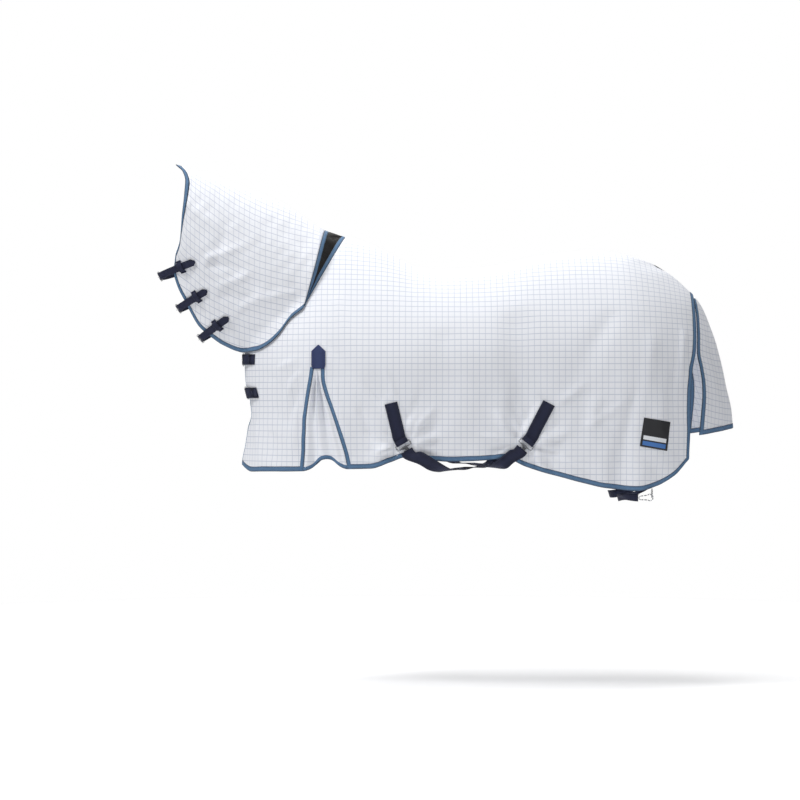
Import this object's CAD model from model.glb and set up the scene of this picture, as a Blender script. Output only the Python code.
from math import asin, ceil, cos, hypot, pi, sin, sqrt

import bmesh
import bpy
import numpy as np
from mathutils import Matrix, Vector


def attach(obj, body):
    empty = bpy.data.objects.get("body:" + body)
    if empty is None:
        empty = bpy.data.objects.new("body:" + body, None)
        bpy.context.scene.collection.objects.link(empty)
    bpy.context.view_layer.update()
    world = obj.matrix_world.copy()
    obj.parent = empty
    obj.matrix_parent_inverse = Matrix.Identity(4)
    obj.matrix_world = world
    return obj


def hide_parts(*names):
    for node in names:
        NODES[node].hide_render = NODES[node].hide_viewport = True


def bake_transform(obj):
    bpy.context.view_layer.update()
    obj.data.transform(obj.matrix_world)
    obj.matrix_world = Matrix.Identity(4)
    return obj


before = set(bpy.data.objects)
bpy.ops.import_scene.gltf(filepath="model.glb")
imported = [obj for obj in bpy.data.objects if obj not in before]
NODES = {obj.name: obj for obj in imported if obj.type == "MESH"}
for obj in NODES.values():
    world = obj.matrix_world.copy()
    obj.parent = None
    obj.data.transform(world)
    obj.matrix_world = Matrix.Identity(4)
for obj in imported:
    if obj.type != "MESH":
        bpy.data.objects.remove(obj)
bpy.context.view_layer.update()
MM = 0.001

# ---- camera: side on and level, nine metres away ----
CAMERA_X, CAMERA_AWAY, CAMERA_Z = 0.1876, 9.0, -0.546
VIEW_HALF_WIDTH, SENSOR = 1.34, 36.0
cam_data = bpy.data.cameras.new("camera")
cam = bpy.data.objects.new("camera", cam_data)
bpy.context.scene.collection.objects.link(cam)
bpy.context.scene.camera = cam
cam.location = (CAMERA_X, -CAMERA_AWAY, CAMERA_Z)
cam.rotation_euler = (pi / 2, 0, 0)
cam_data.sensor_width = SENSOR
cam_data.lens = SENSOR / (2 * VIEW_HALF_WIDTH / CAMERA_AWAY)
cam_data.clip_end = 60
# colours are shown as they are set, as in a plain studio photograph
bpy.context.scene.view_settings.view_transform = "Standard"


# ---- the form of the sheet, the same curves as the CAD ----
def hermite(s):
    """Cubic weights of a span's first value and slope, and of its last value and slope."""
    return 2 * s**3 - 3 * s**2 + 1, s**3 - 2 * s**2 + s, 3 * s**2 - 2 * s**3, s**3 - s**2


def curve(knots):
    """Smooth function through the knots that never overshoots them, straight beyond its ends."""
    kx = np.array([k[0] for k in knots], float)
    ky = np.array([k[1] for k in knots], float)
    slope = np.diff(ky) / np.diff(kx)
    tan = np.zeros(len(kx))
    tan[0], tan[-1] = slope[0], slope[-1]
    for i in range(1, len(kx) - 1):
        a, b = slope[i - 1], slope[i]
        tan[i] = 0 if a * b <= 0 else 2 * a * b / (a + b)

    def f(t):
        t = np.asarray(t, float)
        i = np.clip(np.searchsorted(kx, t) - 1, 0, len(kx) - 2)
        h = kx[i + 1] - kx[i]
        w = hermite((t - kx[i]) / h)
        mid = w[0] * ky[i] + w[1] * h * tan[i] + w[2] * ky[i + 1] + w[3] * h * tan[i + 1]
        low = ky[0] + tan[0] * (t - kx[0])
        high = ky[-1] + tan[-1] * (t - kx[-1])
        return np.where(t <= kx[0], low, np.where(t >= kx[-1], high, mid))

    return f


def stacked(*parts):
    return np.stack(parts, axis=-1)


def lerp(a, b, t):
    return a + (b - a) * t


HALF, WAIST = 275.0, -438.0
V = (-131.0, -244.0)
WITHERS = (4.0, -2.0)
BACK = [(-340, -250), (-250, -190), (-131, -62), (-58, -6), (4, -2), (54, -13), (121, -40),
    (188, -77), (238, -101), (322, -111), (422, -107), (523, -94), (623, -70), (724, -54),
    (824, -47), (925, -57), (1025, -87)]
top_line = curve(BACK + [(1092, -127), (1142, -171), (1172, -201)])
crest_line = curve([(-660, 280), (-563, 242), (-442, 205), (-313, 156), (-204, 111), (-115, 52),
    (-64, 21), (4, -2)])
chest_line = curve([(-790, -340), (-760, -340), (-698, -329), (-638, -321), (-588, -310),
    (-549, -313), (-520, -320), (-490, -327), (-399, -331), (-340, -331), (-200, -300)])
rear_line = curve([(-760, 1306), (-640, 1299), (-583, 1295), (-499, 1277), (-444, 1267),
    (-357, 1246), (-302, 1226), (-238, 1199), (-201, 1174), (-171, 1144), (-127, 1094),
    (-87, 1030), (-40, 1028)])
throat_line = curve([(-700, 150), (-660, 20), (-640, -50), (-612, -129), (-551, -238),
    (-478, -338), (-420, -396), (-345, -430), (-250, -442), (-60, -446)])
chest_neckline = curve([(-331, -347), (-291, -342), (-259, -328), (-214, -290), (-176, -252), V])
hem_line = curve([(-340, -762), (-308, -783), (-265, -781), (-131, -779), (17, -771), (90, -769),
    (158, -748), (217, -731), (282, -741), (350, -746), (480, -741), (536, -736), (591, -760),
    (656, -782), (721, -799), (773, -813), (858, -832), (957, -842), (1027, -826), (1085, -790),
    (1133, -738)])
gusset_front = curve([(-779, -131), (-700, -125), (-641, -122), (-598, -119), (-536, -109),
    (-473, -98), (-438, -93)])
gusset_rear = curve([(-771, 17), (-722, 7), (-670, -8), (-624, -23), (-566, -43), (-525, -58),
    (-473, -70), (-438, -71)])
rear_edge = curve([(-738, 1133), (-621, 1138), (-522, 1141), (-441, 1147), (-391, 1158),
    (-311, 1164), (-198, 1166)])
flap_front = curve([(-660, 1166), (-597, 1172), (-521, 1178), (-490, 1177), (-441, 1170),
    (-391, 1161), (-311, 1165), (-198, 1166)])
section_power = curve([(-340, 1.7), (0, 1.5), (300, 1.85), (1000, 1.9), (1300, 1.9)])
body_top = curve(BACK + [(1094, -118), (1300, -190)])
body_width = curve([(-340, 0.9), (0, 0.93), (250, 1), (480, 1.02), (700, 0.98), (950, 1),
    (1300, 0.94)])
neck_width = curve([(-660, 90), (-560, 102), (-350, 120), (-131, 150), (0, 168)])
NOSE, STERN, BIB_LIFT = 120.0, 890.0, 7.0


def neckline(x):
    straight = V[1] + (x - V[0]) * (WITHERS[1] - V[1]) / (WITHERS[0] - V[0])
    return np.where(x < V[0], chest_neckline(x), straight)


def spread_out(x, z):
    return np.broadcast_arrays(np.asarray(x, float), np.asarray(z, float))


def round_off(s):
    return np.sqrt(np.clip(1 - s * s, 0, None))


def body_half(x, z):
    """Half width of the sheet at x and z in the side view."""
    x, z = spread_out(x, z)
    power = section_power(x)
    rise = (z - WAIST) / (body_top(x) - WAIST)
    up = np.clip(rise, 0, None)
    upper = np.clip(1 - up**power, 0, None) ** (1 / power)
    section = np.where(rise > 0, upper, 1 - 0.035 * rise**2)
    s = np.where(x < NOSE, (NOSE - x) / (NOSE - chest_line(z)), 0)
    nose = round_off(s)
    s = np.where(x > STERN, (x - STERN) / (rear_line(z) - STERN), 0)
    return HALF * body_width(x) * section * nose * round_off(s)


def neck_half(x, z):
    crest = crest_line(x)
    c = np.clip((crest - z) / (crest - throat_line(x)), 0, 1)
    return neck_width(x) * round_off(2 * c**0.92 - 1)


def cover_half(x, z):
    a = neck_half(x, z)
    inside = body_half(x, z)
    b = np.where(inside > 0, inside + BIB_LIFT, -120.0)
    return (a + b + np.sqrt((a - b) ** 2 + 144)) / 2


def smooth(t):
    t = np.clip(t, 0, 1)
    return t * t * (3 - 2 * t)


# ---- folds: each is a ridge (height > 0) or crease from a to b in the side view ----
def ridge(x, z, a, b, width, height, bend):
    ax, az = a
    dx, dz = b[0] - ax, b[1] - az
    length = hypot(dx, dz)
    t = ((x - ax) * dx + (z - az) * dz) / (length * length)
    off = ((x - ax) * dz - (z - az) * dx) / length - bend * 4 * t * (1 - t)
    core = np.exp(-((off / (width * (0.75 + 0.5 * t))) ** 2))
    fade = smooth(t / 0.15) * smooth((1 - t) / 0.5)
    return height * core * fade


def waves(x, z, seed, count, low, high, slant=0.0):
    rng = np.random.default_rng(seed)
    total = np.zeros(np.broadcast(x, z).shape)
    for _ in range(count):
        length = rng.uniform(low, high)
        angle = rng.normal(slant, 0.35)
        phase = rng.uniform(0, 2 * pi)
        k = 2 * pi / length
        wobble = 0.9 * np.sin(z / rng.uniform(90, 200) + rng.uniform(0, 6.28))
        total += np.sin(k * (x * cos(angle) + z * sin(angle)) + phase + wobble)
    return total / sqrt(count)


FRONT_RING, REAR_RING = (199.0, -693.0), (597.0, -689.0)
# what lies flat on the cloth, in the side view: the cloth stays smooth under it
ON_BODY = (((158, -556), (199, -693)), ((672, -556), (597, -689)), ((199, -693), (262, -752)),
    ((597, -689), (512, -758)), ((-79, -366), (-79, -444)), ((-331, -411), (-232, -411)),
    ((-320, -521), (-214, -521)))
LEG_STRAP_SEWN = (((1098, -664), (1080, -752)),)
ON_COVER = (((-610, -131), (-486, -86)), ((-549, -239), (-446, -181)), ((-477, -339), (-377, -269)))


def clear_of(x, z, segments, flat, fade):
    """0 within flat of any of the segments, rising to 1 over the distance fade."""
    free = np.ones(np.broadcast(x, z).shape)
    for (ax, az), (bx, bz) in segments:
        dx, dz = bx - ax, bz - az
        t = np.clip(((x - ax) * dx + (z - az) * dz) / (dx * dx + dz * dz), 0, 1)
        away = np.hypot(x - ax - t * dx, z - az - t * dz)
        free = free * smooth((away - flat) / fade)
    return free


# start, end, width, height and bend of each
BODY_FOLDS = [
    # pulled into the front strap and its fitting
    ((174, -540), (110, -400), 13, 5.5, 6), ((140, -566), (62, -470), 11, -5, -6),
    ((222, -650), (320, -540), 12, 6.5, 8), ((226, -690), (350, -665), 10, 7, -8),
    ((225, -712), (300, -735), 8, -5, 0), ((168, -700), (80, -740), 13, 8, 8),
    ((160, -672), (40, -655), 11, -5.5, 10), ((206, -620), (262, -480), 15, -4, 10),
    ((150, -690), (100, -765), 10, 6, 6), ((230, -672), (330, -610), 8, -4.5, 6),
    # pulled into the rear strap and its fitting
    ((652, -542), (556, -400), 16, 5.5, -8), ((694, -556), (810, -470), 14, 5, 8),
    ((570, -664), (490, -570), 12, 7, -8), ((566, -690), (430, -665), 10, 7.5, 8),
    ((636, -676), (750, -640), 11, 8, 8), ((630, -698), (735, -716), 9, -7, 6),
    ((618, -716), (684, -775), 9, 7, 4), ((586, -640), (545, -520), 14, -4.5, -6),
    ((640, -660), (720, -600), 9, -5, 6), ((560, -706), (470, -722), 9, -5, 6),
    # flank, hip and thigh
    ((560, -230), (585, -760), 62, -11, -14), ((905, -240), (760, -520), 34, -5, 20),
    ((1010, -300), (930, -760), 30, 5, -16), ((1090, -420), (1060, -740), 20, -5, 8),
    ((1120, -300), (1085, -560), 15, 5, -6), ((830, -520), (800, -800), 26, 6, 8),
    ((955, -500), (900, -820), 20, -5, 6), ((780, -640), (960, -520), 9, 3.6, 4),
    ((700, -740), (860, -790), 9, 4.2, 5), ((330, -300), (360, -640), 44, -5, 10),
    # shoulder and chest
    ((-20, -180), (60, -430), 26, 4, 12), ((-60, -350), (60, -520), 15, -3.6, -10),
    ((-30, -470), (50, -720), 14, 5, 10), ((50, -560), (105, -750), 15, -5.5, -8),
    ((-128, -450), (-205, -560), 13, 4.5, 8), ((-135, -500), (-190, -690), 12, -4.8, 8),
    ((-158, -560), (-175, -765), 12, 5.2, -8), ((-225, -440), (-140, -400), 11, 4, 8),
    ((-208, -545), (-140, -500), 11, 4, -8), ((-230, -560), (-175, -640), 13, -4.4, 8),
    ((-292, -610), (-262, -765), 11, 4.6, 6), ((-232, -640), (-218, -770), 11, -4.2, 6),
]
COVER_FOLDS = [
    ((-470, -80), (-310, -20), 12, 6, 8), ((-466, -104), (-320, -112), 10, -5, -6),
    ((-430, -172), (-280, -112), 12, 6.4, 8), ((-424, -196), (-270, -200), 10, -5.2, 6),
    ((-362, -258), (-225, -190), 12, 6, -6), ((-352, -284), (-225, -288), 10, 5.2, 6),
    ((-530, 120), (-400, 20), 20, 4, 10), ((-150, -190), (-300, -230), 14, 4.6, 8),
    ((-110, -60), (-300, 60), 28, -3.6, 16), ((-390, 20), (-420, -140), 18, -4, 8),
]


def add_folds(d, x, z, folds):
    for start, end, width, height, bend in folds:
        d = d + ridge(x, z, start, end, width, height, bend)
    return d


def body_folds(x, z, side):
    down = np.clip((WAIST + 120 - z) / 420, 0, 1)
    seed = 11 if side < 0 else 29
    d = 2.6 * waves(x, z, seed, 7, 150, 420, 0.5) * (0.35 + 0.65 * down)
    d += 4.6 * down**1.6 * waves(x, z, seed + 1, 6, 100, 210)
    d += 0.75 * (0.3 + 0.7 * down) * waves(x, z, seed + 2, 10, 34, 80, 0.9)
    d = add_folds(d, x, z, BODY_FOLDS)
    for cx, cz in (FRONT_RING, REAR_RING):
        away = np.hypot(x - cx, z - cz)
        turn = np.arctan2(z - cz, x - cx)
        rays = np.sin(9 * turn + away / 26) + 0.7 * np.sin(17 * turn - away / 40 + 1.1)
        d = d + 2.6 * rays * np.exp(-(((away - 62) / 44) ** 2))
    d = d * clear_of(x, z, ON_BODY, 23, 15)
    sewn_inside = 1 - clear_of(x, z, LEG_STRAP_SEWN, 34, 30)
    d = lerp(d, np.maximum(d, 0) + 0.5, sewn_inside)
    d = d * smooth((top_line(x) - z + 12) / 80) * smooth((x + 331) / 26)
    under_bib = smooth((neckline(x) - 62 - z) / 44)
    return d * np.where(x < V[0] + 60, lerp(under_bib, 1, smooth((x - V[0]) / 60)), 1)


def cover_folds(x, z, side):
    seed = 51 if side < 0 else 77
    low = smooth((-60 - z) / 190)
    d = (1.6 + 1.4 * low) * waves(x, z, seed, 7, 130, 330, 0.5)
    d += 0.7 * waves(x, z, seed + 1, 9, 34, 80, -0.6)
    d += 2.4 * low * waves(x, z, seed + 2, 5, 70, 150, 0.9)
    d = add_folds(d, x, z, COVER_FOLDS)
    return d * clear_of(x, z, ON_COVER, 16, 22) * smooth((crest_line(x) - z + 6) / 60)


# ---- grids ----
def grid_normals(p, outward, mirrored=True):
    du = np.gradient(p, axis=0)
    dv = np.gradient(p, axis=1)
    n = np.cross(du, dv) * outward
    if mirrored:
        n[..., 1] = np.where(np.abs(p[..., 1]) < 0.01, 0, n[..., 1])
    return n / np.maximum(np.linalg.norm(n, axis=-1, keepdims=True), 1e-9)


def run_along(path):
    return np.concatenate([[0], np.cumsum(np.linalg.norm(np.diff(path, axis=0), axis=1))])


def arc_lengths(p, axis):
    step = np.linalg.norm(np.diff(p, axis=axis), axis=-1)
    pad = [(0, 0), (0, 0)]
    pad[axis] = (1, 0)
    return np.cumsum(np.pad(step, pad), axis=axis)


def link(name, verts, faces, uvs=None, material=None):
    mesh = bpy.data.meshes.new(name)
    mesh.from_pydata((np.asarray(verts) * MM).tolist(), [], [list(map(int, f)) for f in faces])
    if uvs is not None:
        layer = mesh.uv_layers.new(name="cloth")
        loops = np.empty(len(mesh.loops), dtype=np.int32)
        mesh.loops.foreach_get("vertex_index", loops)
        layer.data.foreach_set("uv", (np.asarray(uvs)[loops] * MM).ravel())
    mesh.polygons.foreach_set("use_smooth", [True] * len(mesh.polygons))
    mesh.update()
    obj = bpy.data.objects.new(name, mesh)
    bpy.context.scene.collection.objects.link(obj)
    if material:
        mesh.materials.append(material)
    return obj


def grid_piece(name, p, uv, keep, material, thickness=1.1, outward=1, mirrored=True):
    ni, nj = p.shape[:2]
    n = grid_normals(p, outward, mirrored)
    order = np.arange(ni * nj).reshape(ni, nj)
    cells = [(i, j) for i in range(ni - 1) for j in range(nj - 1) if keep is None or keep(i, j)]
    faces = []
    for i, j in cells:
        f = (order[i, j], order[i + 1, j], order[i + 1, j + 1], order[i, j + 1])
        faces.append(f if outward > 0 else f[::-1])
    used = np.unique(np.array(faces))
    remap = -np.ones(ni * nj, int)
    remap[used] = np.arange(len(used))
    pts = p.reshape(-1, 3)[used]
    nrm = n.reshape(-1, 3)[used]
    uvs = uv.reshape(-1, 2)[used]
    top = pts + nrm * thickness / 2
    bottom = pts - nrm * thickness / 2
    count = len(used)
    faces = [[remap[v] for v in f] for f in faces]
    edges = {(a, b): True for f in faces for a, b in zip(f, f[1:] + f[:1])}
    walls = [(b, a, a + count, b + count) for a, b in edges if (b, a) not in edges]
    under = [[v + count for v in f[::-1]] for f in faces]
    faces = faces + under + walls
    return link(name, np.vstack([top, bottom]), faces, np.vstack([uvs, uvs]), material)


# ---- materials ----
def new_material(name):
    m = bpy.data.materials.new(name)
    m.use_nodes = True
    nt = m.node_tree
    return m, nt, nt.nodes["Principled BSDF"]


def feed(n, values):
    """Links each named input to the output given for it, or sets its own value."""
    for name, value in values.items():
        if isinstance(value, bpy.types.NodeSocket):
            n.id_data.links.new(value, n.inputs[name])
        elif value is not None:
            n.inputs[name].default_value = value


def node(nt, kind, *inputs, **props):
    n = nt.nodes.new(kind)
    for key, value in props.items():
        setattr(n, key, value)
    feed(n, dict(enumerate(inputs)))
    return n


def math_node(nt, op, *inputs):
    return node(nt, "ShaderNodeMath", *inputs, operation=op).outputs[0]


def plus(nt, a, b):
    return math_node(nt, "ADD", a, b)


def minus(nt, a, b):
    return math_node(nt, "SUBTRACT", a, b)


def times(nt, a, b):
    return math_node(nt, "MULTIPLY", a, b)


def apart(nt, a, b):
    return math_node(nt, "ABSOLUTE", minus(nt, a, b))


def darker(color, share):
    return tuple(c * share for c in color[:3]) + (1,)


def uv_axes(nt):
    uv = node(nt, "ShaderNodeUVMap", uv_map="cloth")
    parts = node(nt, "ShaderNodeSeparateXYZ", uv.outputs[0])
    return uv.outputs[0], parts.outputs[0], parts.outputs[1]


def line_mask(nt, value, period, width):
    """1 on lines of that width every period, both in metres."""
    turn = math_node(nt, "MODULO", plus(nt, value, 50 * period), period)
    soft = math_node(nt, "DIVIDE", minus(nt, width, apart(nt, turn, period / 2)), width)
    return node(nt, "ShaderNodeClamp", soft).outputs[0]


def mix_color(nt, fac, a, b):
    n = node(nt, "ShaderNodeMix", data_type="RGBA")
    feed(n, {0: fac, 6: a, 7: b})
    return n.outputs[2]


def noise(nt, vector, scale, detail=3.0, rough=0.5):
    n = node(nt, "ShaderNodeTexNoise", vector)
    feed(n, {"Scale": scale, "Detail": detail, "Roughness": rough})
    return n.outputs[0]


def bump(nt, height, strength, distance, normal=None):
    n = nt.nodes.new("ShaderNodeBump")
    feed(n, {"Strength": strength, "Distance": distance, "Height": height, "Normal": normal})
    return n.outputs[0]


CHECK, CHECK_LINE = 0.0200, 0.0015
RIPSTOP, RIPSTOP_LINE = 0.0048, 0.0005
THREAD, THREAD_LINE = 0.0009, 0.0004
SEE_THROUGH = 0.12


def crossed(nt, op, u, v, period, width):
    return math_node(nt, op, line_mask(nt, u, period, width), line_mask(nt, v, period, width))


def ripstop(name, base, line):
    """White mesh cloth with a fine blue-grey check and a thread weave."""
    m, nt, bsdf = new_material(name)
    uv, u, v = uv_axes(nt)
    wide = math_node(nt, "MAXIMUM", times(nt, line_mask(nt, u, CHECK, CHECK_LINE), 0.7),
        line_mask(nt, v, CHECK, CHECK_LINE))
    fine = crossed(nt, "MAXIMUM", u, v, RIPSTOP, RIPSTOP_LINE)
    cloudy = noise(nt, uv, 5.0, 4.0)
    patchy = mix_color(nt, cloudy, base, darker(base, 0.955))
    lined = mix_color(nt, times(nt, fine, 0.05), patchy, line)
    threads = crossed(nt, "ADD", u, v, THREAD, THREAD_LINE)
    weave = bump(nt, plus(nt, times(nt, threads, 0.35), wide), 0.35, 0.0003)
    crumple = noise(nt, uv, 60.0, 5.0, 0.6)
    feed(bsdf, {"Base Color": mix_color(nt, times(nt, wide, 0.78), lined, line),
        "Normal": bump(nt, crumple, 0.22, 0.0016, weave),
        "Roughness": plus(nt, times(nt, cloudy, 0.12), 0.62),
        "Sheen Weight": 0.08, "Sheen Roughness": 0.4, "Specular IOR Level": 0.3})
    thin = node(nt, "ShaderNodeBsdfTranslucent", base)
    mix = node(nt, "ShaderNodeMixShader", SEE_THROUGH, bsdf.outputs[0], thin.outputs[0])
    feed(nt.nodes["Material Output"], {0: mix.outputs[0]})
    return m


def tape_material(name, base, edge, thread, width, period=0.0042, ribs=0.0012):
    """Woven tape or webbing: u runs along it, v across it from 0 to width. Two rows of stitches."""
    m, nt, bsdf = new_material(name)
    uv, u, v = uv_axes(nt)
    middle = apart(nt, v, width / 2)
    shade = math_node(nt, "POWER", math_node(nt, "DIVIDE", middle, width / 2), 1.8)
    cloudy = noise(nt, uv, 90.0, 3.0)
    speck = mix_color(nt, cloudy, base, darker(base, 0.8))
    worn = mix_color(nt, times(nt, shade, 0.95), speck, edge)
    inset = apart(nt, middle, width / 2 - 0.0026)
    row = math_node(nt, "DIVIDE", minus(nt, 0.0007, inset), 0.0003)
    row = node(nt, "ShaderNodeClamp", row).outputs[0]
    turn = math_node(nt, "MODULO", plus(nt, u, 5.0), period)
    stitch = times(nt, row, math_node(nt, "GREATER_THAN", turn, period * 0.32))
    rib = plus(nt, line_mask(nt, v, ribs, ribs * 0.45),
        times(nt, line_mask(nt, u, ribs * 1.7, ribs * 0.5), 0.6))
    height = minus(nt, plus(nt, rib, times(nt, stitch, 1.4)), times(nt, row, 1.2))
    feed(bsdf, {"Base Color": mix_color(nt, times(nt, stitch, 0.8), worn, thread),
        "Normal": bump(nt, height, 0.6, 0.0004),
        "Roughness": plus(nt, times(nt, cloudy, 0.15), 0.6),
        "Sheen Weight": 0.04, "Sheen Roughness": 0.35, "Specular IOR Level": 0.3})
    return m


def metal_material(name, base, rough):
    m, nt, bsdf = new_material(name)
    where = node(nt, "ShaderNodeTexCoord").outputs["Object"]
    marks = noise(nt, where, 260.0, 6.0, 0.65)
    tone = noise(nt, where, 60.0, 3.0)
    feed(bsdf, {"Roughness": plus(nt, times(nt, marks, 0.22), rough),
        "Base Color": mix_color(nt, tone, base, darker(base, 0.78)), "Metallic": 1.0,
        "Normal": bump(nt, marks, 0.1, 0.0002)})
    return m


def rgb(r, g, b):
    def lin(c):
        c /= 255
        return c / 12.92 if c <= 0.04045 else ((c + 0.055) / 1.055) ** 2.4

    return (lin(r), lin(g), lin(b), 1)


NECK_STRAP, CHEST_STRAP, SURCINGLE = 24.0, 34.0, 42.0
NAVY = (rgb(30, 35, 62), rgb(17, 20, 38), rgb(58, 66, 100))
WEB_STITCH = 0.0036
CLOTH = ripstop("ripstop_mesh", rgb(243, 245, 250), rgb(146, 158, 186))
TAPE = tape_material("binding_tape", rgb(92, 126, 162), rgb(20, 34, 54), rgb(128, 156, 186), 0.016)
WEB = tape_material("navy_webbing", *NAVY, 0.024, WEB_STITCH)
WEB_WIDE = tape_material("navy_webbing_wide", *NAVY, 0.042, WEB_STITCH)
PATCH = tape_material("navy_patch", rgb(54, 66, 108), rgb(38, 47, 84), rgb(96, 108, 150), 0.046,
    WEB_STITCH, 0.0009)
STRETCH = tape_material("stretch_wedge", rgb(22, 18, 15), rgb(14, 11, 9), rgb(40, 36, 32), 0.4,
    0.004, 0.0014)
STEEL = metal_material("nickel_plate", rgb(138, 140, 145), 0.18)


def unit(a):
    return a / np.maximum(np.linalg.norm(a, axis=-1, keepdims=True), 1e-9)


def flat_area(p, keep=None):
    """Area in square metres of the grid: what the cloth was cut to. Panels that only crumple give
    their smooth grid, and the gusset its pleated one, with the pleats let out."""
    a = np.linalg.norm(np.cross(p[1:, :-1] - p[:-1, :-1], p[:-1, 1:] - p[:-1, :-1]), axis=-1)
    b = np.linalg.norm(np.cross(p[1:, :-1] - p[1:, 1:], p[:-1, 1:] - p[1:, 1:]), axis=-1)
    cells = (a + b) / 2
    if keep is not None:
        rows, cols = cells.shape
        cells = cells * np.array([[keep(i, j) for j in range(cols)] for i in range(rows)])
    return float(cells.sum()) * 1e-6


def cut_size(p):
    """Width and length in metres of the rectangle that the cloth is cut from."""
    down = float(arc_lengths(p, 1)[:, -1].max()) * MM
    across = float(arc_lengths(p, 0)[-1].max()) * MM
    return (min(down, across), max(down, across))


def declare_cloth(form, keep=None):
    area = flat_area(form, keep)
    width, length = cut_size(form)


def place_piece(obj, body, nodes, blend=None):
    if blend:
        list(blend[:2])
        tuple(blend[2])
        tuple(blend[3])
        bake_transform(obj)
    else:
        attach(obj, body)
    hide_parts(*nodes)


# ---- body cloth ----
FRONT_N, GAP_N, REAR_N = 58, 3, 176
UPPER_N, LOWER_N = 40, 38
LAST_ROW = UPPER_N + LOWER_N
GAP_FROM, GAP_TO = FRONT_N, FRONT_N + GAP_N
COLUMN = np.arange(FRONT_N + GAP_N + REAR_N + 1)
IS_FRONT, IS_REAR = COLUMN <= GAP_FROM, COLUMN >= GAP_TO
FRONT_SHARE = np.clip(COLUMN / FRONT_N, 0, 1)
GAP_SHARE = np.clip((COLUMN - GAP_FROM) / GAP_N, 0, 1)
REAR_SHARE = np.clip((COLUMN - GAP_TO) / REAR_N, 0, 1)


def front_angle(last):
    return lerp(pi / 2, last, FRONT_SHARE)


def column_x(z):
    """Where each column of the body grid runs at the heights z."""
    low = np.minimum(z, WAIST)
    edge, back = gusset_front(low), gusset_rear(low)
    reach = NOSE - chest_line(z)
    front = NOSE - reach * np.sin(front_angle(np.arcsin((NOSE - edge) / reach)))
    rear = lerp(back, rear_edge(z), REAR_SHARE)
    return np.where(IS_FRONT, front, np.where(IS_REAR, rear, lerp(edge, back, GAP_SHARE)))


# shares of the front columns
BEFORE_V, AFTER_V = 0.93, 0.07
GUSSET_TOP = (-93, -71)


def column_tops():
    reach = NOSE - float(chest_line(-345))
    turn = lerp(pi / 2, asin((NOSE - V[0]) / reach), np.clip(FRONT_SHARE / BEFORE_V, 0, 1))
    front = np.where(FRONT_SHARE < BEFORE_V, NOSE - reach * np.sin(turn),
        lerp(V[0], GUSSET_TOP[0], (FRONT_SHARE - BEFORE_V) / AFTER_V))
    rear = lerp(GUSSET_TOP[1], 1164, REAR_SHARE)
    return np.where(IS_FRONT, front, np.where(IS_REAR, rear, lerp(*GUSSET_TOP, GAP_SHARE)))


def body_grid(side):
    x_top = column_tops()
    z_top = np.where(x_top < WITHERS[0], neckline(x_top), top_line(x_top))
    level = np.full(len(COLUMN), WAIST)
    x_waist = column_x(level)
    z_hem = hem_line(column_x(level * 0 - 760.0))
    xs, zs = [], []
    for j in range(UPPER_N + 1):
        t = 1 - cos(j / UPPER_N * pi / 2)
        z = lerp(z_top, WAIST, t)
        x = lerp(x_top, x_waist, t)
        x[0] = float(chest_line(z[0]))
        x[-1] = float(rear_edge(z[-1]))
        xs.append(x)
        zs.append(z)
    for j in range(1, LOWER_N + 1):
        z = lerp(WAIST, z_hem, j / LOWER_N)
        xs.append(column_x(z))
        zs.append(z)
    x, z = np.array(xs).T, np.array(zs).T
    y = body_half(x, z)
    y[0] = 0
    back = x_top >= WITHERS[0]
    y[back, 0] = 0
    smooth_form = stacked(x, side * y, z)
    push = body_folds(x, z, side)[..., None]
    p = smooth_form + grid_normals(smooth_form, side) * push
    p[0, :, 1] = 0
    p[back, 0, 1] = 0
    return smooth_form, p


def thread_uv(p, row):
    """u along the horse at that row, v by length down from it: the threads stay straight."""
    down = arc_lengths(p, 1)
    u = np.interp(p[..., 0], p[:, row, 0], arc_lengths(p, 0)[:, row])
    v = np.where(p[..., 2] < p[:, row : row + 1, 2], p[:, row : row + 1, 2] - p[..., 2],
        down - down[:, row : row + 1])
    return stacked(u, -v)


TAPE_PROFILE = ((1.0, 0.55), (0.95, 0.95), (0.62, 1.18), (0.3, 1.15), (0.09, 1.0), (0.01, 0.7),
    (-0.045, 0), (0.01, -0.7), (0.09, -1.0), (0.5, -1.12), (0.95, -0.9), (1.0, -0.5))


def join_parts(name, parts, material):
    verts, faces, uvs, at = [], [], [], 0
    for v, f, u in parts:
        verts.append(v)
        uvs.append(u)
        faces += [tuple(i + at for i in face) for face in f]
        at += len(v)
    obj = link(name, np.vstack(verts), faces, np.vstack(uvs), material)
    work = bmesh.new()
    work.from_mesh(obj.data)
    bmesh.ops.recalc_face_normals(work, faces=work.faces)
    work.to_mesh(obj.data)
    work.free()
    return obj


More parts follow.
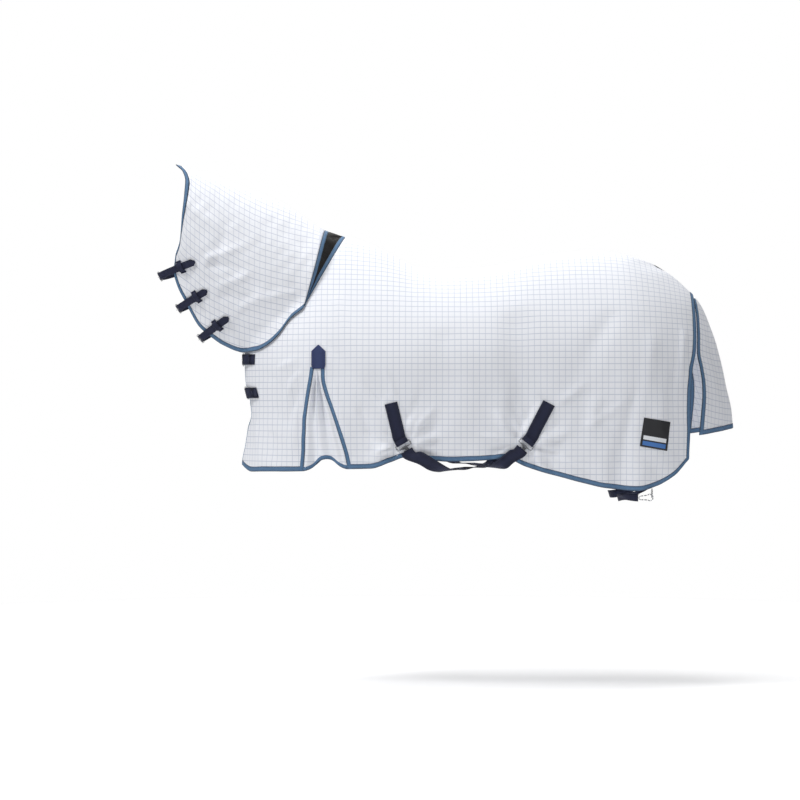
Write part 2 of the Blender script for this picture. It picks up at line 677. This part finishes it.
def edge_tape(p, border, inward, outward=1, width=16.0, thick=3.0, pucker=0.3, step=5.0,
        mirrored=True):
    """Tape folded over the border vertices. It lies on the cloth's own surface, which it follows
    from vertex to vertex in the grid direction inward. Gives vertices, faces and uvs."""
    n = grid_normals(p, outward, mirrored)
    depth = 18
    at = np.array(border)[:, None] + np.arange(depth)[:, None] * inward
    at_i, at_j = (np.clip(at[..., k], 0, p.shape[k] - 1) for k in (0, 1))
    lines, normals = p[at_i, at_j], n[at_i, at_j]
    deep = arc_lengths(lines, 1)
    s = run_along(lines[:, 0])
    wide = np.broadcast_to(np.asarray(width, float), s.shape)
    at = np.linspace(0, s[-1], max(3, int(s[-1] / step) + 1))
    wave = np.sin(2 * pi * s / 17 + 2.2 * np.sin(s / 61))
    verts, uvs = [], []
    for share, h in TAPE_PROFILE:
        inner = max(share, 0)
        reach = inner * wide + pucker * 0.8 * np.sin(s / 13 + 1.3) * inner
        spot, face = (np.array([[np.interp(r, d, c) for c in line.T]
            for r, d, line in zip(reach, deep, grid)]) for grid in (lines, normals))
        face = unit(face)
        if share < 0:
            spot = spot + unit(lines[:, 0] - lines[:, 1]) * (-share * wide)[:, None]
        lift = h * thick / 2 + pucker * wave * inner * (1 if h > 0 else 0.3)
        spot = spot + face * lift[:, None]
        verts.append(stacked(*(np.interp(at, s, c) for c in spot.T)))
        uvs.append(stacked(at, inner * np.interp(at, s, wide)))
    k, count = len(TAPE_PROFILE), len(at)
    verts = np.stack(verts, axis=1).reshape(-1, 3)
    uvs = np.stack(uvs, axis=1).reshape(-1, 2)
    faces = [(i + j, i + (j + 1) % k, i + k + (j + 1) % k, i + k + j)
        for i in range(0, (count - 1) * k, k) for j in range(k)]
    faces.append(tuple(range(k))[::-1])
    faces.append(tuple((count - 1) * k + j for j in range(k)))
    return verts, faces, uvs


def bind(name, parts, node_name, body, blend=None):
    place_piece(join_parts(name, parts, TAPE), body, [node_name], blend)


def on_body(x, z, side, lift=0.0):
    x, z = spread_out(x, z)
    return stacked(x, side * (body_half(x, z) + lift), z)


def on_cloth(x, z, side, lift=0.0):
    """Like on_body, but on the cloth with its folds, for what is sewn flat onto it."""
    form = on_body(x, z, side)
    push = body_folds(form[..., 0], form[..., 2], side) + lift
    return form + grid_normals(form, side, False) * push[..., None]


SIDES = (("left", -1), ("right", 1))
CHEST_TAPE, GUSSET_TAPE, FACE_TAPE = 10.0, 13.0, 19.0
GUSSET_COLUMNS, HEM_ARCH = 26, 36
PATCH_X, PATCH_HALF, PATCH_TOP, PATCH_FOOT = -79, 23, -366, -444
for word, side in SIDES:
    smooth_form, p = body_grid(side)

    def keep(i, j):
        return not (GAP_FROM <= i < GAP_TO and j >= UPPER_N)

    cloth = grid_piece(f"sheet_cloth_{word}", p, thread_uv(smooth_form, UPPER_N), keep, CLOTH,
        outward=side)
    place_piece(cloth, "sheet", [f"body_panel_{word}"])
    declare_cloth(smooth_form, keep)
    end = len(COLUMN) - 1
    rows = range(LAST_ROW + 1)
    lower = range(UPPER_N, LAST_ROW + 1)
    parts = [edge_tape(p, [(i, LAST_ROW) for i in range(GAP_FROM + 1)], (0, -1), side),
        edge_tape(p, [(0, j) for j in rows], (1, 0), side, width=CHEST_TAPE),
        edge_tape(p, [(GAP_FROM, j) for j in lower], (-1, 0), side, width=GUSSET_TAPE)]
    bind(f"front_tape_{word}", parts, f"front_binding_{word}", "sheet")
    parts = [edge_tape(p, [(GAP_TO, j) for j in lower], (1, 0), side, width=GUSSET_TAPE),
        edge_tape(p, [(i, LAST_ROW) for i in range(GAP_TO, end + 1)], (0, -1), side),
        edge_tape(p, [(end, j) for j in rows if j > 1], (-1, 0), side)]
    bind(f"rear_tape_{word}", parts, f"rear_binding_{word}", "sheet")

    # pleated gusset between the two edges, its folds falling from the patch
    share = np.linspace(0, 1, GUSSET_COLUMNS + 1)[:, None]
    a, b = p[GAP_FROM, UPPER_N:], p[GAP_TO, UPPER_N:]
    drop = np.linspace(0, 1, a.shape[0])[None, :]
    arch = HEM_ARCH * np.sin(share * pi) ** 2 * smooth((drop - 0.8) / 0.2)
    gx = lerp(a[None, :, 0], b[None, :, 0], share)
    gz = lerp(a[None, :, 2], b[None, :, 2], share) + arch
    flat_form = on_body(gx, gz, side)
    pleat = -9.0 * np.sin(share * pi) ** 0.6 * smooth(drop / 0.2)
    pleat = pleat + 8.5 * np.sin(share * 2 * pi * 2.4 + 1.4 * drop + 0.6) * smooth(drop / 0.25)
    pleat = pleat + 2.2 * np.sin(share * 11 + drop * 9) * smooth(drop / 0.3)
    pleat = pleat * smooth(np.minimum(share, 1 - share) / 0.14)
    g = flat_form + grid_normals(flat_form, side, False) * pleat[..., None]
    g[0], g[-1] = a, b
    gusset = grid_piece(f"gusset_cloth_{word}", g, thread_uv(flat_form, 0), None, CLOTH,
        outward=side, mirrored=False)
    place_piece(gusset, "sheet", [f"shoulder_gusset_{word}"])
    declare_cloth(g)

    parts = [edge_tape(g, [(i, LOWER_N) for i in range(GUSSET_COLUMNS + 1)], (0, -1), side,
        width=GUSSET_TAPE, mirrored=False)]
    edge = join_parts(f"gusset_hem_{word}", parts, TAPE)
    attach(edge, "sheet")

    # patch over the top of the gusset
    z = np.linspace(PATCH_TOP, PATCH_FOOT, 27)[None, :]
    width = np.interp(-z, [-PATCH_TOP, 386, 433, -PATCH_FOOT], [0.08, 1, 1, 0.85])
    b = np.linspace(-1, 1, 15)[:, None]
    form = on_body(PATCH_X + b * PATCH_HALF * width, z + 0 * b, side, 2.6 + 0.5)
    uv = stacked(-z + 0 * b, PATCH_HALF + b * PATCH_HALF * width)
    patch = grid_piece(f"patch_{word}", form, uv, None, PATCH, 1.6, side, False)
    place_piece(patch, "sheet", [f"gusset_patch_{word}"])


# ---- neck cover ----
def along(points):
    pts = np.array(points, float)
    s = run_along(pts)
    fx = curve(list(zip(s / s[-1], pts[:, 0])))
    fz = curve(list(zip(s / s[-1], pts[:, 1])))
    return lambda k: stacked(fx(k), fz(k))


CREST_FRONT = (-64, 21)
crest_path = along([(-563, 242), (-442, 205), (-313, 156), (-204, 111), (-115, 52), CREST_FRONT])
rear_path = along([CREST_FRONT, (-95, -112), V])
front_path = along([(-563, 242), (-538, 218), (-526, 182), (-528, 137), (-535, 62), (-541, -15),
    (-556, -64)])
bib_path = along([(-556, -64), (-563, -122), (-552, -167), (-527, -218), (-508, -256), (-482, -300),
    (-437, -339), (-399, -364), (-336, -386), (-291, -383), (-259, -370), (-214, -332),
    (-176, -280), V])
NECK_N, NECK_M = 96, 72
NECK_BLEND = ("sheet", "neck_cover", (-0.215, 0, -0.380), (-0.300, 0, -0.280))


def neck_grid(side):
    u = np.linspace(0, 1, NECK_N + 1)[:, None]
    v = (1 - np.cos(np.linspace(0, 1, NECK_M + 1) * pi / 2))[None, :]
    corner = [f(np.array(k))[None, None] for f in (crest_path, bib_path) for k in (0.0, 1.0)]
    top, bottom = crest_path(u), bib_path(u)
    front, rear = front_path(v), rear_path(v)
    uu, vv = u[..., None], v[..., None]
    at = ((1 - vv) * top + vv * bottom + (1 - uu) * front + uu * rear
        - (1 - uu) * (1 - vv) * corner[0] - uu * (1 - vv) * corner[1]
        - (1 - uu) * vv * corner[2] - uu * vv * corner[3])
    x, z = at[..., 0], at[..., 1]
    y = cover_half(x, z)
    y[:, 0] = 0
    form = stacked(x, side * y, z)
    calm = smooth(u / 0.06) * smooth((1 - u) / 0.07) * smooth((1 - v) / 0.10)
    p = form + grid_normals(form, side) * (cover_folds(x, z, side) * calm)[..., None]
    p[:, 0, 1] = 0
    return form, p


for word, side in SIDES:
    form, p = neck_grid(side)
    row = NECK_M // 2
    cloth = grid_piece(f"neck_cloth_{word}", p, thread_uv(form, row), None, CLOTH, outward=side)
    place_piece(cloth, None, [f"neck_panel_{word}", f"neck_bib_{word}"], NECK_BLEND)
    declare_cloth(form)
    cols, rows = range(NECK_N + 1), range(NECK_M + 1)
    parts = [edge_tape(p, [(0, j) for j in rows], (1, 0), side, width=FACE_TAPE),
        edge_tape(p, [(i, NECK_M) for i in cols], (0, -1), side)]
    bind(f"neck_tape_{word}", parts, f"neck_binding_{word}", None, NECK_BLEND)

# ---- stretch wedge in front of the withers ----
WEDGE_STEPS, WEDGE_WIDE, WEDGE_REACH = 40, 20, 0.97
arm = np.abs(np.linspace(-1, 1, 2 * WEDGE_STEPS + 1))
hand = np.sign(np.linspace(-1, 1, 2 * WEDGE_STEPS + 1))
t = (1 - np.cos(arm * pi / 2)) * WEDGE_REACH
fore = rear_path(t)
aft_x = lerp(WITHERS[0], V[0], t)
aft = stacked(aft_x, neckline(aft_x))
share = np.linspace(0, 1, WEDGE_WIDE + 1)[:, None]
x = lerp(fore[None, :, 0] + 0.6, aft[None, :, 0] - 0.6, share)
z = lerp(fore[None, :, 1], aft[None, :, 1], share)
y = lerp(cover_half(x, z), np.maximum(body_half(x, z), 0), smooth(share))
wedge_form = stacked(x, hand[None, :] * y, z)
gather = 0.8 * np.sin(z / 5.5 + 5 * share) * np.sin(share * pi)
wedge_p = wedge_form + grid_normals(wedge_form, -1) * gather[..., None]
WEDGE_BLEND = ("sheet", "neck_cover", (0.004, 0, -0.002), (-0.0265, 0, 0.015))
uv = stacked(arc_lengths(wedge_form, 1), arc_lengths(wedge_form, 0))
wedge = grid_piece("wedge_cloth", wedge_p, uv, None, STRETCH, 1.4, -1)
place_piece(wedge, None, ["wither_wedge"], WEDGE_BLEND)
declare_cloth(wedge_form)
spread = np.linalg.norm(wedge_form[-1] - wedge_form[0], axis=-1)
wedge_cols = range(2 * WEDGE_STEPS + 1)
for end, here, inward, body in (("front", 0, (1, 0), "neck_cover"),
        ("rear", WEDGE_WIDE, (-1, 0), "sheet")):
    parts = [edge_tape(wedge_p, [(here, j) for j in wedge_cols], inward, -1,
        width=np.minimum(14, 0.34 * spread + 1.5), pucker=0.1)]
    bind(f"wedge_tape_{end}", parts, f"wedge_binding_{end}", body)

# ---- tail flap ----
FLAP_N, FLAP_M, FLAP_TOP = 44, 60, -208
turn = np.linspace(-1, 1, 2 * FLAP_N + 1)[:, None]
hem = lerp(-629, -653, np.abs(turn) ** 1.5) - 8
z = lerp(FLAP_TOP, hem, np.linspace(0, 1, FLAP_M + 1)[None, :])
back = rear_line(z) - STERN
opened = lerp(0.1, 3, np.clip((FLAP_TOP - z) / 60, 0, 1))
angle = np.arccos(np.clip((flap_front(z) + opened - STERN) / back, 0, 1)) * np.abs(turn)
x = STERN + back * np.cos(angle)
flap_form = stacked(x, np.sign(turn) * body_half(x, z), z)
hang = smooth((-230 - z) / 160)
wave = 2.6 * np.sin(turn * 8.5 + 0.8 + z / 190) + 1.6 * np.sin(turn * 17 + z / 90)
calm = smooth((1 - np.abs(turn)) / 0.12)
flap_p = flap_form + grid_normals(flap_form, -1) * (wave * hang * calm)[..., None]
uv = stacked(arc_lengths(flap_form, 0), -arc_lengths(flap_form, 1))
flap = grid_piece("flap_cloth", flap_p, uv, None, CLOTH, outward=-1)
place_piece(flap, "tail_flap", ["tail_flap"])
declare_cloth(flap_form)
rows, cols = range(FLAP_M + 1), range(2 * FLAP_N + 1)
last = 2 * FLAP_N
parts = [edge_tape(flap_p, [(0, j) for j in rows], (1, 0), -1),
    edge_tape(flap_p, [(last, j) for j in rows], (-1, 0), -1),
    edge_tape(flap_p, [(i, FLAP_M) for i in cols], (0, -1), -1)]
bind("flap_tape", parts, "tail_flap_binding", "tail_flap")

# ---- webbing: a path of cross rows, smoothed along its length ----
WEBBING = 1.6
BAR, GAP = 2.0, 0.3
TAPE_HALF, CLOTH_HALF, HEEL = 1.2, 0.8, 11.0
LOOP = BAR + GAP + WEBBING / 2
UNDER = TAPE_HALF + 2.2
OVER = UNDER + WEBBING + 0.6


def refine(rows, step=4.0):
    """Cubic through the rows by chord length; also the fine index at which each row falls."""
    rows = np.array(rows, float)
    h = np.maximum(np.linalg.norm(np.diff(rows.mean(1), axis=0), axis=1), 1e-3)
    slope = np.diff(rows, axis=0) / h[:, None, None]
    tan = np.zeros_like(rows)
    tan[0], tan[-1] = slope[0], slope[-1]
    for i in range(1, len(rows) - 1):
        tan[i] = (slope[i] * h[i - 1] + slope[i - 1] * h[i]) / (h[i] + h[i - 1])
    fine, at = [rows[0]], [0]
    for i, length in enumerate(h):
        count = max(2, ceil(length / step))
        for k in range(1, count + 1):
            w = hermite(k / count)
            fine.append(w[0] * rows[i] + w[1] * length * tan[i] + w[2] * rows[i + 1]
                + w[3] * length * tan[i + 1])
        at.append(len(fine) - 1)
    return np.array(fine), at


def webbing(name, rows, material, hole=None, outward=-1):
    fine, at = refine(rows)
    uv = stacked(arc_lengths(fine, 0).mean(1, keepdims=True) + np.zeros(fine.shape[:2]),
        arc_lengths(fine, 1))
    keep = None
    if hole:
        first, last, column = at[hole[0]], at[hole[1]], hole[2]

        def keep(i, j):
            return not (j == column and first <= i < last)

    return grid_piece(name, fine, uv, keep, material, WEBBING, outward, False)


class Track:
    """A strap's run round the front of a form, from the far side to the near side."""

    def __init__(self, half_at, foot, toward):
        length = hypot(*toward)
        self.d = np.array(toward) / length
        self.perp = np.array([-self.d[1], self.d[0]])
        self.half_at, self.foot, self.tables = half_at, np.array(foot, float), {}

    def table(self, b):
        b = round(b, 4)
        if b not in self.tables:
            base = self.foot + self.perp * b
            starts = np.arange(30, -40.01, -0.25)
            near = self.half_at(base[0] + self.d[0] * starts, base[1] + self.d[1] * starts) <= 1.5
            start = starts[np.argmax(near)] if near.any() else starts[-1]
            s = start + 260 * (np.arange(91) / 90) ** 2
            y = self.half_at(base[0] + self.d[0] * s, base[1] + self.d[1] * s)
            y[0] = 0
            run = np.concatenate([[0], np.cumsum(np.hypot(np.diff(s), np.diff(y)))])
            self.tables[b] = (run, s, y, base)
        return self.tables[b]

    def raw(self, a, b):
        run, s, y, base = self.table(b)
        spot = base + self.d * np.interp(abs(a), run, s)
        out = np.interp(abs(a), run, y)
        return np.array([spot[0], out if a < 0 else -out, spot[1]])

    def at(self, a, b, lift):
        da = self.raw(a + 3, b) - self.raw(a - 3, b)
        db = self.raw(a, b + 3) - self.raw(a, b - 3)
        return self.raw(a, b) + unit(np.cross(da, db)) * lift

    def reach(self, s):
        run, along_s, _, _ = self.table(0)
        return float(np.interp(s, along_s, run))


class Place:
    def __init__(self, origin, e1, e2):
        self.o, self.e1 = origin, unit(e1)
        self.e3 = unit(np.cross(self.e1, e2))
        self.e2 = unit(np.cross(self.e3, self.e1))

    def row(self, a, c, cross):
        return [self.at(a, b, c) for b in cross]

    def at(self, a, b, c):
        return self.o + self.e1 * a + self.e2 * b + self.e3 * c


def arc(a, c, radius, start, end, steps):
    turns = np.linspace(start, end, steps + 1)
    return [(a + radius * cos(k), c + radius * sin(k)) for k in turns]


SLOT_HALF, SLOT_COLUMN, BUCKLE_AT = 3.4, 3, 22


def buckled_strap(name, track, width, tab_end, tip_end, far_end, press, body, web):
    """A billet from the far side and the loop that holds its buckle frame, both in webbing."""
    lift, middle = UNDER + LOOP, BUCKLE_AT
    origin = track.at(middle, 0, lift)
    place = Place(origin, track.at(middle + 6, 0, lift) - track.at(middle - 6, 0, lift),
        track.at(middle, 8, lift) - track.at(middle, -8, lift))
    cross = [*np.linspace(-width / 2, -SLOT_HALF, 4), *np.linspace(SLOT_HALF, width / 2, 4)]

    def laid(a, height):
        return [track.at(a, b, height) for b in cross]

    def local(a, c):
        return place.row(a, c, cross)

    start = middle + HEEL + 14
    tab = [laid(lerp(start, tab_end, k / 3), UNDER - press if k > 1 else UNDER)
        for k in (3, 2, 1, 0)]
    tab.append(local(HEEL + 6, -LOOP))
    tab += [local(a, c) for a, c in arc(HEEL, 0, LOOP, -pi / 2, -pi * 1.5, 6)]
    tab += [local(HEEL + 6.4, LOOP - 0.1), local(HEEL + 9.5, LOOP - 0.2)]
    pieces = [webbing(f"{name}_loop", tab, web, (4, len(tab) - 2, SLOT_COLUMN))]
    over = LOOP + WEBBING + GAP
    low = -BAR - GAP - WEBBING / 2 - 0.2
    far = middle - HEEL - 14
    billet = [laid(lerp(far, -far_end, k / 5), UNDER - press if k > 3 else UNDER)
        for k in (5, 4, 3, 2, 1, 0)]
    billet += [local(a, c) for a, c in ((-HEEL - 5, low), (-HEEL, low), (-HEEL + 5, low + 1),
        (HEEL - 7, over - 1), (HEEL - 2, over), (HEEL + 6, over), (HEEL + 10, over - 0.2))]
    bare = max(tab_end + 12, start + 20)
    onward = start + 6
    for k in range(6):
        a = lerp(onward, tip_end, k / 6)
        settle = min(max((a - onward) / (bare - onward), 0), 1)
        height = lerp(UNDER + LOOP + over, OVER, min(1, settle * 3))
        billet.append(laid(a, height))
    billet.append([track.at(tip_end + 4 - 15 * abs(b) / (width / 2), b, OVER) for b in cross])
    pieces.append(webbing(f"{name}_strap", billet, web, (8, 11, SLOT_COLUMN)))
    for piece, end in zip(pieces, ("tab", "billet")):
        place_piece(piece, body, [f"{name}_{end}"])


def keeper(name, track, middle, press):
    high, h = OVER + WEBBING + 0.5, NECK_STRAP / 2
    low = UNDER - press
    stations = [(-h - 10, low), (-h - 4, low), (-h - 1.5, high), (h + 1.5, high), (h + 4, low),
        (h + 10, low)]
    rows = [[track.at(middle + a, b, height) for a in np.linspace(-9, 9, 6)]
        for b, height in stations]
    place_piece(webbing(f"{name}_band", rows, WEB), "neck_cover", [name])


for name, foot, toward, keeper_at, tip_at, press in (
    ("neck_strap_top", (-610, -131), (124, 45), 76, 128, 1.1),
    ("neck_strap_middle", (-549, -239), (102, 58), 72, 114, 0.9),
    ("neck_strap_low", (-477, -339), (101, 70), 71, 119, 1.5),
):
    track = Track(cover_half, foot, toward)
    edge_at = track.reach(keeper_at)
    buckled_strap(name, track, NECK_STRAP, edge_at - 14, track.reach(tip_at), edge_at, press,
        "neck_cover", WEB)
    keeper(f"{name}_keeper", track, edge_at, press)
for name, z, press in (("chest_strap_upper", -411, 0.8), ("chest_strap_lower", -521, -0.2)):
    track = Track(body_half, (float(chest_line(z)), z), (1, -0.02))
    buckled_strap(name, track, CHEST_STRAP, tab_end=108, tip_end=84, far_end=100, press=press,
        body="sheet", web=WEB_WIDE)


# ---- crossed surcingles ----
RING, HOOK = 2.2, 2.0
RING_LOOP = RING + GAP + WEBBING / 2
HOOK_LOOP = RING + GAP + HOOK / 2
SEWN_LIFT = CLOTH_HALF + 1.2 + WEBBING / 2


def near(x, z, lift):
    dx = on_body(x + 4, z, -1) - on_body(x - 4, z, -1)
    dz = on_body(x, z + 4, -1) - on_body(x, z - 4, -1)
    return on_body(x, z, -1) + unit(np.cross(dx, dz)) * lift


def surcingle(name, top, ring_at, down, belly):
    lift = SEWN_LIFT + RING_LOOP
    origin = near(*ring_at, lift)
    d = unit(np.array(down, float))
    ahead = near(ring_at[0] + d[0] * 8, ring_at[1] + d[1] * 8, lift)
    behind = near(ring_at[0] - d[0] * 8, ring_at[1] - d[1] * 8, lift)
    e1 = ahead - behind
    place = Place(origin, e1, np.cross(near(*ring_at, lift + 5) - origin, e1))
    h, reach = SURCINGLE / 2, 8
    cross = np.linspace(-h, h, 9)
    foot = np.array(ring_at) - d * 26
    run = unit(foot - np.array(top, float))
    side = np.array([-run[1], run[0]])
    flip = 1 if side[0] * place.e2[0] + side[1] * place.e2[2] > 0 else -1
    rows = []
    for k in range(6):
        x, z = lerp(np.array(top, float), foot, k / 5)
        rows.append([near(x + side[0] * b * flip, z + side[1] * b * flip, SEWN_LIFT)
            for b in cross])
    turned = arc(-reach, 0, RING_LOOP, -pi / 2, pi / 2, 6)
    for a, c in [(-reach - 6, -RING_LOOP), *turned, (-reach - 14, RING_LOOP)]:
        rows.append(place.row(a, c, cross))
    sewn = webbing(f"{name}_upper_web", rows, WEB_WIDE, outward=1)
    place_piece(sewn, "sheet", [f"{name}_sewn_strap"])
    rise = -HOOK_LOOP + HOOK / 2 + GAP + 0.2 + WEBBING / 2
    rows = [place.row(a, rise, cross) for a in (reach + 12, reach + 26)]
    for centre, wide in belly:
        wide = unit(np.array(wide, float))
        wide = -wide if wide @ place.e2 < 0 else wide
        rows.append([np.array(centre, float) + wide * b for b in cross])
    web = webbing(f"{name}_belly_web", rows, WEB_WIDE)
    grip = place.at(reach + 16, 0, rise) * MM
    free = np.array(belly[1][0], float) * MM
    place_piece(web, None, [f"{name}_belly_strap"],
        (f"{name}_fitting", "sheet", tuple(grip), tuple(free)))


surcingle("surcingle_front", (158, -556), (199, -693), (0.5, -0.86), [
    ((252, -282, -734), (0.25, -0.1, 0.9)), ((292, -284, -757), (0.35, -0.25, 0.6)),
    ((330, -264, -774), (0.7, -0.4, 0.25)), ((362, -200, -774), (0.8, -0.25, 0)),
    ((420, 0, -771), (0.9, -0.28, 0)), ((480, 195, -768), (0.9, -0.28, 0)),
    ((508, 243, -752), (0.95, -0.2, 0.05)), ((520, 261, -725), (1, 0, 0.05)),
    ((524, 268, -690), (1, 0, 0.02))])
surcingle("surcingle_rear", (672, -556), (597, -689), (-0.62, -0.78), [
    ((552, -281, -728), (0.4, 0, -0.9)), ((522, -284, -752), (0.5, 0.2, -0.6)),
    ((496, -262, -764), (0.7, 0.3, -0.2)), ((468, -195, -761), (0.85, 0.25, 0)),
    ((420, 0, -757), (0.92, 0.25, 0)), ((366, 195, -755), (0.92, 0.25, 0)),
    ((348, 243, -742), (0.95, 0.2, 0.05)), ((340, 261, -718), (1, 0, 0)),
    ((336, 267, -684), (1, 0, 0))])

# ---- leg straps inside the hind hem ----
LEG_CROSS = np.linspace(-12, 12, 7)
for word, side in SIDES:
    inner = [float(body_half(x, z)) - gap for x, z, gap in ((1098, -664, 4), (1092, -704, 5))]
    path = [((1098, inner[0], -664), (0.5, -0.3, 0.1)), ((1092, inner[1], -704), (0.5, -0.3, 0.1)),
        ((1080, 196, -744), (0.5, -0.25, 0.1)), ((1056, 158, -790), (0.6, -0.2, 0.2)),
        ((1012, 120, -836), (0.7, -0.1, 0.5)), ((958, 108, -858), (0.45, 0.3, 0.6)),
        ((916, 140, -866), (0, 0.2, 0.9)), ((902, 190, -866), (-0.3, 0.1, 0.9)),
        ((920, 228, -864), (-0.4, 0.5, 0.6)), ((948, 240, -864), (-0.1, 0.2, 0.9)),
        ((964, 242, -865), (0, 0.1, 1))]
    mirror = np.array([1, side, 1])
    rows, held = [], None
    for centre, wide in path:
        wide = unit(np.array(wide, float) * mirror)
        wide = -wide if held is not None and wide @ held < 0 else wide
        held = wide
        rows.append([np.array(centre) * mirror + wide * b for b in LEG_CROSS])
    strap = webbing(f"leg_web_{word}", rows, WEB, outward=side)
    place_piece(strap, "sheet", [f"leg_strap_{word}"])

# ---- label: plain bands only ----
corner = np.array([[980, -603], [1068, -618], [967, -696], [1055, -712]], float)
i = np.linspace(0, 1, 21)[:, None, None]
j = np.linspace(0, 1, 21)[None, :, None]
flat_at = lerp(lerp(corner[0], corner[1], i), lerp(corner[2], corner[3], i), j)
form = on_cloth(flat_at[..., 0], flat_at[..., 1], -1, CLOTH_HALF + 1.0)
uv = stacked(*(np.broadcast_to(k[..., 0], form.shape[:2]) for k in (i, j))) / MM
m, nt, bsdf = new_material("label_cloth")
_, u, v = uv_axes(nt)
color = rgb(24, 25, 30)
for low_v, high_v, band in ((0.60, 0.74, rgb(222, 225, 230)), (0.79, 0.94, rgb(62, 112, 180))):
    above = math_node(nt, "GREATER_THAN", v, low_v)
    below = math_node(nt, "LESS_THAN", v, high_v)
    within = math_node(nt, "LESS_THAN", apart(nt, u, 0.5), 0.42)
    color = mix_color(nt, times(nt, times(nt, above, below), within), color, band)
grain = crossed(nt, "ADD", u, v, 0.016, 0.007)
feed(bsdf, {"Base Color": color, "Normal": bump(nt, grain, 0.4, 0.0002), "Roughness": 0.55})
label = grid_piece("label_plate", form, uv, None, m, 1.0, -1, False)
place_piece(label, "sheet", ["label"])

# ---- steel keeps its CAD shape, rounded, with a plated finish ----
STEEL_WORDS = ("_frame", "_prong", "_ring", "_hook", "leg_snap")
for name, obj in NODES.items():
    if not any(word in name for word in STEEL_WORDS):
        continue
    if not obj.material_slots:
        obj.data.materials.append(STEEL)
    for slot in obj.material_slots:
        slot.material = STEEL
    smoother = obj.modifiers.new("round", "SUBSURF")
    smoother.levels = smoother.render_levels = 1

# ---- floor and studio light ----
FLOOR, FLOOR_REACH, FLOOR_X = -1.5, 4.0, 0.3
WHITE = (1, 1, 1, 1)
turn = np.linspace(0, 2 * pi, 97)[:-1]
rim = stacked(FLOOR_X + FLOOR_REACH * np.cos(turn), FLOOR_REACH * np.sin(turn),
    np.full(turn.shape, FLOOR)) / MM
m, nt, bsdf = new_material("studio_paper")
where = node(nt, "ShaderNodeTexCoord").outputs["Object"]
speck = noise(nt, where, 3.0, 2.0)
feed(bsdf, {"Base Color": mix_color(nt, speck, rgb(250, 250, 250), rgb(246, 246, 247)),
    "Roughness": 0.9, "Emission Color": WHITE, "Emission Strength": 0.2})
link("studio_floor", [tuple(p) for p in rim], [tuple(range(len(rim)))], None, m)

# dim light from all round, and plain white where nothing stands in front of it
world = bpy.data.worlds.new("studio")
bpy.context.scene.world = world
world.use_nodes = True
tree = world.node_tree
dim = tree.nodes["Background"]
feed(dim, {"Color": WHITE, "Strength": 0.16})
white = node(tree, "ShaderNodeBackground", WHITE, 1.0)
seen = node(tree, "ShaderNodeLightPath").outputs["Is Camera Ray"]
pick = node(tree, "ShaderNodeMixShader", seen, dim.outputs[0], white.outputs[0])
feed(tree.nodes["World Output"], {"Surface": pick.outputs[0]})


def area_light(name, at, aim, size, power):
    data = bpy.data.lights.new(name, "AREA")
    data.shape, data.size, data.energy = "SQUARE", size, power
    lamp = bpy.data.objects.new(name, data)
    bpy.context.scene.collection.objects.link(lamp)
    lamp.location = at
    lamp.rotation_euler = (Vector(aim) - Vector(at)).to_track_quat("-Z", "Y").to_euler()


area_light("key", (-3.0, -2.0, 3.4), (0.3, -0.15, -0.4), 1.5, 170)
area_light("top", (0.6, -0.6, 4.2), (0.4, 0, -0.2), 2.4, 150)
area_light("fill", (3.6, -5.0, 0.6), (0.6, 0, -0.5), 2.4, 42)
area_light("far_side", (1.2, 4.6, 3.6), (0.3, 0, -0.4), 2.4, 55)
area_light("floor_wash", (0.3, 3.6, 2.4), (0.3, 4.6, -1.5), 5.0, 120)
